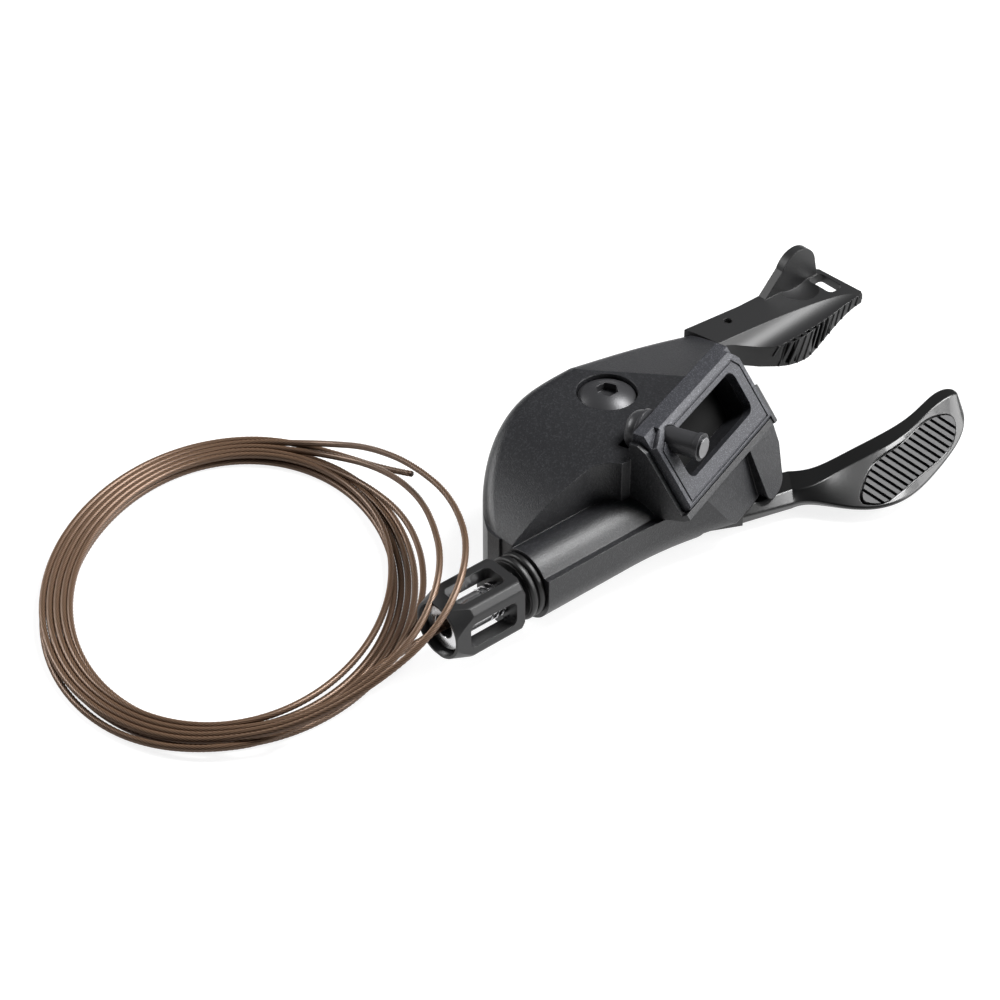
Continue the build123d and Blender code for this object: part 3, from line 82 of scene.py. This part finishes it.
# Gear cable: one strand of wire rope, in millimetres
CABLE_D = 1.2
BARREL_END = (-43.6, -12.0, 8.65)
LEAD_POINTS = [(-55.5, -12.1, 8.2), (-62.5, -11.8, 6.4), (-69.5, -11.6, 3.9)]
COIL_AT = (-59.1, 26.4)
COIL_TURN = 49.4        # degrees from +X to the coil's long axis
COIL_LONG = 37.8        # half axes of the coil's middle line
COIL_SHORT = 29.6
COIL_START = 0.46       # share of a turn, clockwise from the long axis, where the lead lands
TURN_STEPS = 24         # points a turn
LAYER_TURNS = 4.3       # turns of the lower layer, from the outside in
LAYER_RISE = 1.3        # the upper layer above the lower one
TURN_PITCH = 1.2        # sideways step of one turn
LOW_Z = CABLE_D / 2
OUTER_TURN = 3.2        # outermost turn from the middle line
LAND_HEIGHT = 1.7       # the lead above the floor layer where it lands
LAND_TURNS = 0.14       # turns in which it comes down
LAND_WIDE = 0.7         # how much further out it lands
LAND_WIDE_TURNS = 0.5   # turns in which it draws in
CLIMB_TURNS = 0.35      # turns in which the cable climbs to the upper layer
# Sideways wander of each layer: how far, waves a round, start of the wave
LOW_SWAY = [(0.35, 2, 0.7), (0.25, 3, 1.9)]
HIGH_SWAY = [(1.0, 1, 2.1), (0.7, 2, 0.4)]
# Loose turns, listed one by one: degrees round the coil, out from its middle line, height
LOOSE_TURNS = [
    [(14, 0.5, 2.0), (28, 0.2, 2.1), (45, 1.0, 2.8), (65, 2.5, 4.0), (85, 3.4, 5.5),
     (105, 4.8, 6.5), (122, 4.6, 5.0), (140, 2.6, 3.4), (160, 0.4, 2.3)],
    [(14, 1.7, 2.2), (28, 2.4, 3.0), (45, 2.9, 6.0), (65, 3.2, 10.5), (85, 4.9, 14.5),
     (105, 8.5, 15.6), (122, 9.0, 11.5), (140, 6.0, 6.8), (160, 2.3, 3.2)],
    [(14, 2.9, 2.8), (28, 3.3, 5.0), (45, 2.8, 10.0), (65, 4.4, 14.5), (85, 8.9, 17.5),
     (105, 13.2, 19.2), (122, 13.4, 15.0), (140, 9.0, 9.5), (160, 4.9, 4.6)],
]
FIRST_LOOSE = 6         # round of the coil in which the first loose turn lifts off
LOOSE_BACK = 182        # degrees at which a loose turn is back in the coil
FREE_END = [(14, 4.1, 2.0), (30, 4.2, 2.4), (45, 5.1, 4.0), (57, 6.6, 7.4)]
LINE_STEPS = 15         # points of the smooth line between two control points
OUTER_WIRES = 10
ROPE_LAY = 9.0          # one wind of a wire round the rope
WIRE_GROOVE = 0.11      # depth between two wires

# Ridges of the release lever's front, in millimetres
RIDGES = 14
RIDGE_FROM = 46.6
RIDGE_PITCH = 1.673
RIDGE_LEAN = 20.0       # degrees from upright
RIDGE_LOW = 11.7
RIDGE_H = 6.2
RIDGE_STEPS = 26
RIDGE_R = 0.24
RIDGE_ROUND = 2         # Blender's steps of a quarter of the ridge's round
RIDGE_SIGHT = -6.0      # y from which the face is sought, towards +Y
RIDGE_DEEP = 0.7        # a ridge ends where the face falls back this far
RIDGE_LEAST = 3         # fewest points of a ridge

# Faces with a finish of their own: the way they look and how far out they lie that way, in millimetres. The
# pocket floor's finish is painted shade.
CLAMP_AXIS = (0.3248, -0.9432, 0.0698)
POCKET_UP = (0.2667, -0.7745, 0.5736)
POCKET_FLOOR = 21.394
FACE_SLACK = 0.12
FACE_ALIKE = 0.99       # least cosine between such a face and the way it looks

# Finishes
GRAINED_EDGE = 0.25     # softened edge of a grained piece, in millimetres
GRAIN_DETAIL = 3.0
EDGE_SAMPLES = 4
# The groove colour is painted shade between the cable's wires; the crest colour is the coating's own brown.
CABLE_GROOVE_PAINTED_SHADE = (0.045, 0.027, 0.017)
CABLE_CREST = (0.25, 0.15, 0.092)


def coil_point(degrees, out, height):
    """Point of the coil, clockwise from its long axis as seen from above."""
    turn = math.radians(COIL_TURN)
    along = (COIL_LONG + out) * math.cos(math.radians(degrees))
    across = (COIL_SHORT + out) * math.sin(math.radians(degrees))
    x = COIL_AT[0] + along * math.cos(turn) + across * math.sin(turn)
    y = COIL_AT[1] + along * math.sin(turn) - across * math.cos(turn)
    return (x, y, height)


def ease(share):
    """Smooth step from 0 to 1."""
    share = min(1.0, max(0.0, share))
    return share * share * (3 - 2 * share)


def sway(waves, phase):
    """Sideways wander of a layer at this place round the coil."""
    return sum(far * math.sin(count * phase + start) for far, count, start in waves)


def coil_turn(turns):
    """Point of the coiled cable this many turns after it lands: inwards below, then outwards on top."""
    degrees = 360 * (COIL_START + turns)
    phase = math.radians(degrees)
    if turns < LAYER_TURNS:
        out = OUTER_TURN - TURN_PITCH * turns
        out += LAND_WIDE * (1 - ease(turns / LAND_WIDE_TURNS))
    else:
        out = OUTER_TURN - TURN_PITCH * (2 * LAYER_TURNS - turns)
    lift = ease((turns - LAYER_TURNS + CLIMB_TURNS) / CLIMB_TURNS)
    out += sway(LOW_SWAY, phase) * (1 - lift) + sway(HIGH_SWAY, phase) * lift
    height = LOW_Z + LAYER_RISE * lift + LAND_HEIGHT * (1 - ease(turns / LAND_TURNS))
    return coil_point(degrees, out, height)


def coil_stretch(first, last):
    """Points of the coiled cable between two counts of turns."""
    steps = math.ceil((last - first) * TURN_STEPS)
    return [coil_turn(first + (last - first) * i / steps) for i in range(steps + 1)]


def turns_at(degrees, whole):
    """Count of turns since the landing at these degrees, in the given round of the coil."""
    return whole + degrees / 360 - COIL_START


def cable_route():
    """The free cable from the barrel to its bare end."""
    route = [BARREL_END] + LEAD_POINTS
    whole = FIRST_LOOSE
    start = 0.0
    for loose in LOOSE_TURNS:
        route += coil_stretch(start, turns_at(0, whole))
        route += [coil_point(*station) for station in loose]
        start = turns_at(LOOSE_BACK, whole)
        whole += 1
    route += coil_stretch(start, turns_at(0, whole))
    route += [coil_point(*station) for station in FREE_END]
    return [tuple(v * MM for v in p) for p in route]


def show(name, data):
    """New object in the scene."""
    obj = bpy.data.objects.new(name, data)
    bpy.context.scene.collection.objects.link(obj)
    return obj


def curve_mesh(name, curve):
    """Mesh of a curve as Blender evaluates it."""
    guide = show(name, curve)
    bpy.context.view_layer.update()
    mesh = bpy.data.meshes.new_from_object(guide.evaluated_get(bpy.context.evaluated_depsgraph_get()))
    bpy.data.objects.remove(guide)
    return mesh


def spline_curve(name, route):
    """Curve of one smooth open spline with these control points."""
    curve = bpy.data.curves.new(name, "CURVE")
    curve.dimensions = "3D"
    spline = curve.splines.new("NURBS")
    spline.points.add(len(route) - 1)
    for point, place in zip(spline.points, route):
        point.co = (*place, 1)
    spline.order_u = 3
    spline.use_endpoint_u = True
    spline.resolution_u = LINE_STEPS
    return curve


def smooth_line(route):
    """Points along the smooth spline of a route."""
    line = curve_mesh("guide", spline_curve("guide", route))
    points = [v.co.copy() for v in line.vertices]
    bpy.data.meshes.remove(line)
    return points


def gear_cable(points):
    """Wire rope along a line: outer wires that wind round it, with grooves between them."""
    ring = 2 * OUTER_WIRES
    verts = []
    side = Vector((0, 0, 1))
    run = 0.0
    for i, place in enumerate(points):
        before = points[max(i - 1, 0)]
        ahead = (points[min(i + 1, len(points) - 1)] - before).normalized()
        side = (side - ahead * side.dot(ahead)).normalized()
        across = ahead.cross(side)
        run += (place - before).length
        for k in range(ring):
            angle = 2 * math.pi * (k / ring + run / (ROPE_LAY * MM))
            reach = (CABLE_D / 2 - WIRE_GROOVE * (k % 2)) * MM
            verts.append(place + (side * math.cos(angle) + across * math.sin(angle)) * reach)
    faces = [tuple(range(ring))[::-1], tuple(range(len(verts) - ring, len(verts)))]
    for start in range(0, len(verts) - ring, ring):
        for k in range(ring):
            beside = (k + 1) % ring
            faces.append((start + k, start + beside, start + ring + beside, start + ring + k))
    mesh = bpy.data.meshes.new("gear_cable")
    mesh.from_pydata(verts, [], faces)
    mesh.shade_smooth()
    # The crest mark is 1 on the wires and 0 in the grooves, where the cable's finish paints shade.
    crest = mesh.attributes.new("crest", "FLOAT", "POINT")
    crest.data.foreach_set("value", [1.0 - i % 2 for i in range(len(verts))])
    return show("gear_cable", mesh)


def ridge_places(lever, foot_x):
    """Points of one ridge on the lever's face, from its foot up to where the face falls back."""
    lean = math.tan(math.radians(RIDGE_LEAN))
    places = []
    for step in range(RIDGE_STEPS):
        rise = RIDGE_H * step / (RIDGE_STEPS - 1)
        start = Vector((foot_x + rise * lean, RIDGE_SIGHT, RIDGE_LOW + rise)) * MM
        hit, place, _, _ = lever.ray_cast(start, Vector((0, 1, 0)))
        if hit:
            places.append(place)
    front = min((place.y for place in places), default=0.0)
    return [place for place in places if place.y < front + RIDGE_DEEP * MM]


def release_ridges():
    """Raised ridges of the release lever's ribbed front, laid on its face."""
    curve = bpy.data.curves.new("release_ridges", "CURVE")
    curve.dimensions = "3D"
    curve.bevel_depth = RIDGE_R * MM
    curve.bevel_resolution = RIDGE_ROUND
    curve.use_fill_caps = True
    for ridge in range(RIDGES):
        places = ridge_places(frame["nodes"]["release_lever"], RIDGE_FROM + ridge * RIDGE_PITCH)
        if len(places) < RIDGE_LEAST:
            continue
        spline = curve.splines.new("POLY")
        spline.points.add(len(places) - 1)
        for point, place in zip(spline.points, places):
            point.co = (*place, 1)
    mesh = curve_mesh("release_ridges_guide", curve)
    mesh.shade_smooth()
    return show("release_ridges", mesh)


def face_finish(node, way, out, finish):
    """Another finish on the node's faces that look this way and lie this far out."""
    way = Vector(way).normalized()
    mesh = frame["nodes"][node].data
    mesh.materials.append(finish)
    for face in mesh.polygons:
        if face.normal.dot(way) > FACE_ALIKE and abs(face.center.dot(way) - out) < FACE_SLACK * MM:
            face.material_index = 1


def reach_out(node, way):
    """How far the node reaches in this direction."""
    way = Vector(way).normalized()
    return max(v.co.dot(way) for v in frame["nodes"][node].data.vertices)


def maths(tree, operation):
    """Node for one sum."""
    node = tree.nodes.new("ShaderNodeMath")
    node.operation = operation
    return node


def white_paper():
    """Paper that keeps a soft shadow and is white where it is seen."""
    paper = bpy.data.materials.new("white_paper")
    paper.use_nodes = True
    tree = paper.node_tree
    tree.nodes.clear()
    link = tree.links.new
    out = tree.nodes.new("ShaderNodeOutputMaterial")
    join = tree.nodes.new("ShaderNodeAddShader")
    matt = tree.nodes.new("ShaderNodeBsdfDiffuse")
    matt.inputs["Color"].default_value = (FLOOR_SHADE, FLOOR_SHADE, FLOOR_SHADE, 1)
    glow = tree.nodes.new("ShaderNodeEmission")
    path = tree.nodes.new("ShaderNodeLightPath")
    seen = maths(tree, "MAXIMUM")
    through = maths(tree, "MAXIMUM")
    level = maths(tree, "MULTIPLY")
    level.inputs[1].default_value = FLOOR_GLOW
    link(path.outputs["Is Camera Ray"], seen.inputs[0])
    link(path.outputs["Is Glossy Ray"], seen.inputs[1])
    link(seen.outputs[0], through.inputs[0])
    link(path.outputs["Is Transmission Ray"], through.inputs[1])
    link(through.outputs[0], level.inputs[0])
    link(level.outputs[0], glow.inputs["Strength"])
    link(matt.outputs[0], join.inputs[0])
    link(glow.outputs[0], join.inputs[1])
    link(join.outputs[0], out.inputs["Surface"])
    return paper


def white_floor():
    """Sheet of white paper under the shifter."""
    bpy.ops.mesh.primitive_plane_add(size=FLOOR_SIDE)
    floor = bpy.context.object
    floor.name = "floor"
    floor.location.z = -FLOOR_DROP
    floor.data.materials.append(white_paper())


def studio_room():
    """Dim room light, and white behind the floor's edge."""
    world = bpy.data.worlds.new("studio")
    bpy.context.scene.world = world
    world.use_nodes = True
    tree = world.node_tree
    tree.nodes.clear()
    link = tree.links.new
    out = tree.nodes.new("ShaderNodeOutputWorld")
    mix = tree.nodes.new("ShaderNodeMixShader")
    room = tree.nodes.new("ShaderNodeBackground")
    room.inputs["Color"].default_value = (*ROOM_COLOUR, 1)
    room.inputs["Strength"].default_value = ROOM_LIGHT
    white = tree.nodes.new("ShaderNodeBackground")
    white.inputs["Color"].default_value = (1, 1, 1, 1)
    path = tree.nodes.new("ShaderNodeLightPath")
    link(path.outputs["Is Camera Ray"], mix.inputs[0])
    link(room.outputs[0], mix.inputs[1])
    link(white.outputs[0], mix.inputs[2])
    link(mix.outputs[0], out.inputs["Surface"])


def aim(obj, place, target):
    """Put an object in its place and point it at a target."""
    obj.location = place
    obj.rotation_euler = (target - place).to_track_quat("-Z", "Y").to_euler()


def lamp(name, place, size, power):
    """Soft rectangular lamp that looks at the shifter."""
    light = bpy.data.lights.new(name, "AREA")
    light.shape = "RECTANGLE"
    light.size, light.size_y = size
    light.energy = power
    aim(show(name, light), Vector(place), Vector(LAMP_AIM))


def camera():
    """Camera at the photograph's angle."""
    data = bpy.data.cameras.new("camera")
    data.lens = CAMERA_LENS
    data.sensor_width = SENSOR
    data.clip_start = CLIP_START * MM
    obj = show("camera", data)
    aim(obj, Vector(CAMERA_AT) * MM, Vector(CAMERA_AIM) * MM)
    bpy.context.scene.camera = obj


class Finish:
    """A material's node tree with short ways to add and join nodes."""

    def __init__(self, name):
        self.material = bpy.data.materials.new(name)
        self.material.use_nodes = True
        self.tree = self.material.node_tree
        self.shader = self.tree.nodes["Principled BSDF"]

    def put(self, socket, value):
        """Set a constant of the shader."""
        self.shader.inputs[socket].default_value = (*value, 1) if isinstance(value, tuple) else value

    def group(self, tree, **values):
        """Place a shared effect with its own values."""
        node = self.tree.nodes.new("ShaderNodeGroup")
        node.node_tree = tree
        for name, value in values.items():
            socket = node.inputs[name.replace("_", " ")]
            socket.default_value = (*value, 1) if isinstance(value, tuple) else value
        return node

    def join(self, output, socket):
        """Link an output to the shader."""
        self.tree.links.new(output, self.shader.inputs[socket])

    def bump(self, height, depth, edge):
        """Raise the surface by a height, on top of the softened edges."""
        node = self.tree.nodes.new("ShaderNodeBump")
        node.inputs["Strength"].default_value = 1.0
        node.inputs["Distance"].default_value = depth * MM
        self.tree.links.new(height, node.inputs["Height"])
        self.tree.links.new(edge, node.inputs["Normal"])
        self.join(node.outputs[0], "Normal")


def new_group(name, inputs, outputs):
    """Empty node group with its sockets, and its two end nodes."""
    tree = bpy.data.node_groups.new(name, "ShaderNodeTree")
    for label, kind, value in inputs:
        socket = tree.interface.new_socket(label, in_out="INPUT", socket_type=kind)
        socket.default_value = value
    for label, kind in outputs:
        tree.interface.new_socket(label, in_out="OUTPUT", socket_type=kind)
    return tree, tree.nodes.new("NodeGroupInput"), tree.nodes.new("NodeGroupOutput")


def moulded_grain():
    """Fine even grain of moulded resin or a cast skin, with flecks. The grain's size is in millimetres."""
    tree, given, made = new_group(
        "moulded_grain",
        [("Grain Size", "NodeSocketFloat", 0.2), ("Base", "NodeSocketColor", (0.1, 0.1, 0.1, 1)),
         ("Fleck", "NodeSocketColor", (0.2, 0.2, 0.2, 1)), ("Fleck Share", "NodeSocketFloat", 0.2),
         ("Dull", "NodeSocketFloat", 0.5), ("Dull Spread", "NodeSocketFloat", 0.1)],
        [("Color", "NodeSocketColor"), ("Roughness", "NodeSocketFloat"), ("Height", "NodeSocketFloat")],
    )
    link = tree.links.new
    place = tree.nodes.new("ShaderNodeTexCoord")
    scale = maths(tree, "DIVIDE")
    scale.inputs[0].default_value = 1 / MM
    link(given.outputs["Grain Size"], scale.inputs[1])
    grain = tree.nodes.new("ShaderNodeTexNoise")
    grain.inputs["Detail"].default_value = GRAIN_DETAIL
    link(place.outputs["Object"], grain.inputs["Vector"])
    link(scale.outputs[0], grain.inputs["Scale"])
    cells = tree.nodes.new("ShaderNodeTexVoronoi")
    link(place.outputs["Object"], cells.inputs["Vector"])
    link(scale.outputs[0], cells.inputs["Scale"])
    tone = tree.nodes.new("ShaderNodeSeparateColor")
    link(cells.outputs["Color"], tone.inputs[0])
    flecks = maths(tree, "LESS_THAN")
    link(tone.outputs[0], flecks.inputs[0])
    link(given.outputs["Fleck Share"], flecks.inputs[1])
    paint = tree.nodes.new("ShaderNodeMix")
    paint.data_type = "RGBA"
    link(flecks.outputs[0], paint.inputs["Factor"])
    link(given.outputs["Base"], paint.inputs["A"])
    link(given.outputs["Fleck"], paint.inputs["B"])
    dull = maths(tree, "MULTIPLY_ADD")
    link(grain.outputs["Fac"], dull.inputs[0])
    link(given.outputs["Dull Spread"], dull.inputs[1])
    link(given.outputs["Dull"], dull.inputs[2])
    link(paint.outputs["Result"], made.inputs["Color"])
    link(dull.outputs[0], made.inputs["Roughness"])
    link(grain.outputs["Fac"], made.inputs["Height"])
    return tree


def rounded_edge():
    """Softly rounded edges."""
    tree, given, made = new_group(
        "rounded_edge", [("Radius", "NodeSocketFloat", 0.2 * MM)], [("Normal", "NodeSocketVector")]
    )
    soft = tree.nodes.new("ShaderNodeBevel")
    soft.samples = EDGE_SAMPLES
    tree.links.new(given.outputs["Radius"], soft.inputs["Radius"])
    tree.links.new(soft.outputs[0], made.inputs["Normal"])
    return tree


GRAIN = moulded_grain()
EDGE = rounded_edge()


def grained(name, depth, **look):
    """Finish with a fine grain of this depth and softened edges."""
    finish = Finish(name)
    grain = finish.group(GRAIN, **look)
    edge = finish.group(EDGE, Radius=GRAINED_EDGE * MM)
    finish.join(grain.outputs["Color"], "Base Color")
    finish.join(grain.outputs["Roughness"], "Roughness")
    finish.bump(grain.outputs["Height"], depth, edge.outputs["Normal"])
    return finish


def body_resin():
    """Near-black moulded resin with a fine matt grain."""
    finish = grained(
        "body_resin", depth=0.05, Grain_Size=0.26, Base=(0.010, 0.0103, 0.012), Fleck=(0.02, 0.0205, 0.023),
        Fleck_Share=0.2, Dull=0.34, Dull_Spread=0.14
    )
    return finish.material


def lid_resin():
    """Duller resin of the lid under the mechanism."""
    finish = grained(
        "lid_resin", depth=0.02, Grain_Size=0.3, Base=(0.012, 0.012, 0.013), Fleck=(0.02, 0.02, 0.021),
        Fleck_Share=0.2, Dull=0.5, Dull_Spread=0.15
    )
    return finish.material


def cast_alloy():
    """Dark cast alloy with bright flecks."""
    finish = grained(
        "cast_alloy", depth=0.02, Grain_Size=0.1, Base=(0.035, 0.036, 0.042), Fleck=(0.11, 0.112, 0.125),
        Fleck_Share=0.12, Dull=0.34, Dull_Spread=0.16
    )
    finish.put("Metallic", 0.3)
    return finish.material


def plain(name, colour, roughness, metallic=0.0, edge_radius=0.2, coat=0.0):
    """Even finish with softened edges."""
    finish = Finish(name)
    finish.put("Base Color", colour)
    finish.put("Roughness", roughness)
    finish.put("Metallic", metallic)
    finish.put("Coat Weight", coat)
    edge = finish.group(EDGE, Radius=edge_radius * MM)
    finish.join(edge.outputs["Normal"], "Normal")
    return finish.material


def pocket_painted_shade():
    """Painted shade: a dull black finish on the bracket window's pocket floor, standing in for the shade of
    a deep pocket.
    """
    finish = Finish("pocket_painted_shade")
    finish.put("Base Color", (0.004, 0.004, 0.004))
    finish.put("Roughness", 0.8)
    finish.put("Specular IOR Level", 0.15)
    return finish.material


def cable_coated():
    """Brown coated wire rope, with painted shade darkening the grooves between its wires."""
    finish = Finish("cable_coated")
    finish.put("Metallic", 0.35)
    finish.put("Roughness", 0.36)
    crest = finish.tree.nodes.new("ShaderNodeAttribute")
    crest.attribute_name = "crest"
    paint = finish.tree.nodes.new("ShaderNodeMix")
    paint.data_type = "RGBA"
    # Painted shade in the grooves between the wires.
    paint.inputs["A"].default_value = (*CABLE_GROOVE_PAINTED_SHADE, 1)
    paint.inputs["B"].default_value = (*CABLE_CREST, 1)
    finish.tree.links.new(crest.outputs["Fac"], paint.inputs["Factor"])
    finish.join(paint.outputs["Result"], "Base Color")
    return finish.material


def dress():
    """A finish for every slot of the record, given to each node by its slot."""
    finishes = {
        "body_resin": body_resin(),
        "lid_resin": lid_resin(),
        "cast_alloy": cast_alloy(),
        "black_steel": plain("black_steel", (0.045, 0.045, 0.048), roughness=0.36, metallic=0.35),
        "bare_steel": plain("bare_steel", (0.5, 0.5, 0.51), roughness=0.3, metallic=1.0),
        "lever_gloss": plain(
            "lever_gloss", (0.006, 0.006, 0.006), roughness=0.3, edge_radius=0.25, coat=0.2
        ),
        "pad_rubber": plain("pad_rubber", (0.016, 0.016, 0.018), roughness=0.5, edge_radius=0.12),
        "satin_resin": plain("satin_resin", (0.011, 0.011, 0.0115), roughness=0.44),
        "bright_alloy": plain("bright_alloy", (0.82, 0.82, 0.83), roughness=0.2, metallic=1.0),
        "boot_rubber": plain("boot_rubber", (0.004, 0.004, 0.004), roughness=0.45),
        "spring_steel": plain("spring_steel", (0.4, 0.4, 0.42), roughness=0.35, metallic=1.0),
        "bush_bronze": plain("bush_bronze", (0.55, 0.38, 0.16), roughness=0.35, metallic=1.0),
        "cable_coated": cable_coated(),
    }
    for part in frame["record"]["subparts"]:
        mesh = frame["nodes"][part["node"]].data
        mesh.materials.clear()
        mesh.materials.append(finishes[part["material_slot"]])
    return finishes


white_floor()
studio_room()
for lamp_row in LAMPS:
    lamp(*lamp_row)
camera()
finishes = dress()

face_finish("clamp_bolt", CLAMP_AXIS, reach_out("clamp_bolt", CLAMP_AXIS), finishes["bare_steel"])
# The pocket floor gets painted shade: a dull black finish where the deep window pocket lies in shade.
face_finish("upper_cover", POCKET_UP, POCKET_FLOOR * MM, pocket_painted_shade())

ridges = release_ridges()
ridges.data.materials.append(finishes["satin_resin"])
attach(ridges, "release_lever")

cable_line = smooth_line(cable_route())
cable = gear_cable(cable_line)
cable.data.materials.append(finishes["cable_coated"])
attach(cable, "body")
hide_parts("cable_lead", "cable_coil", "cable_loose_turns")

bpy.context.scene.view_settings.view_transform = "Standard"
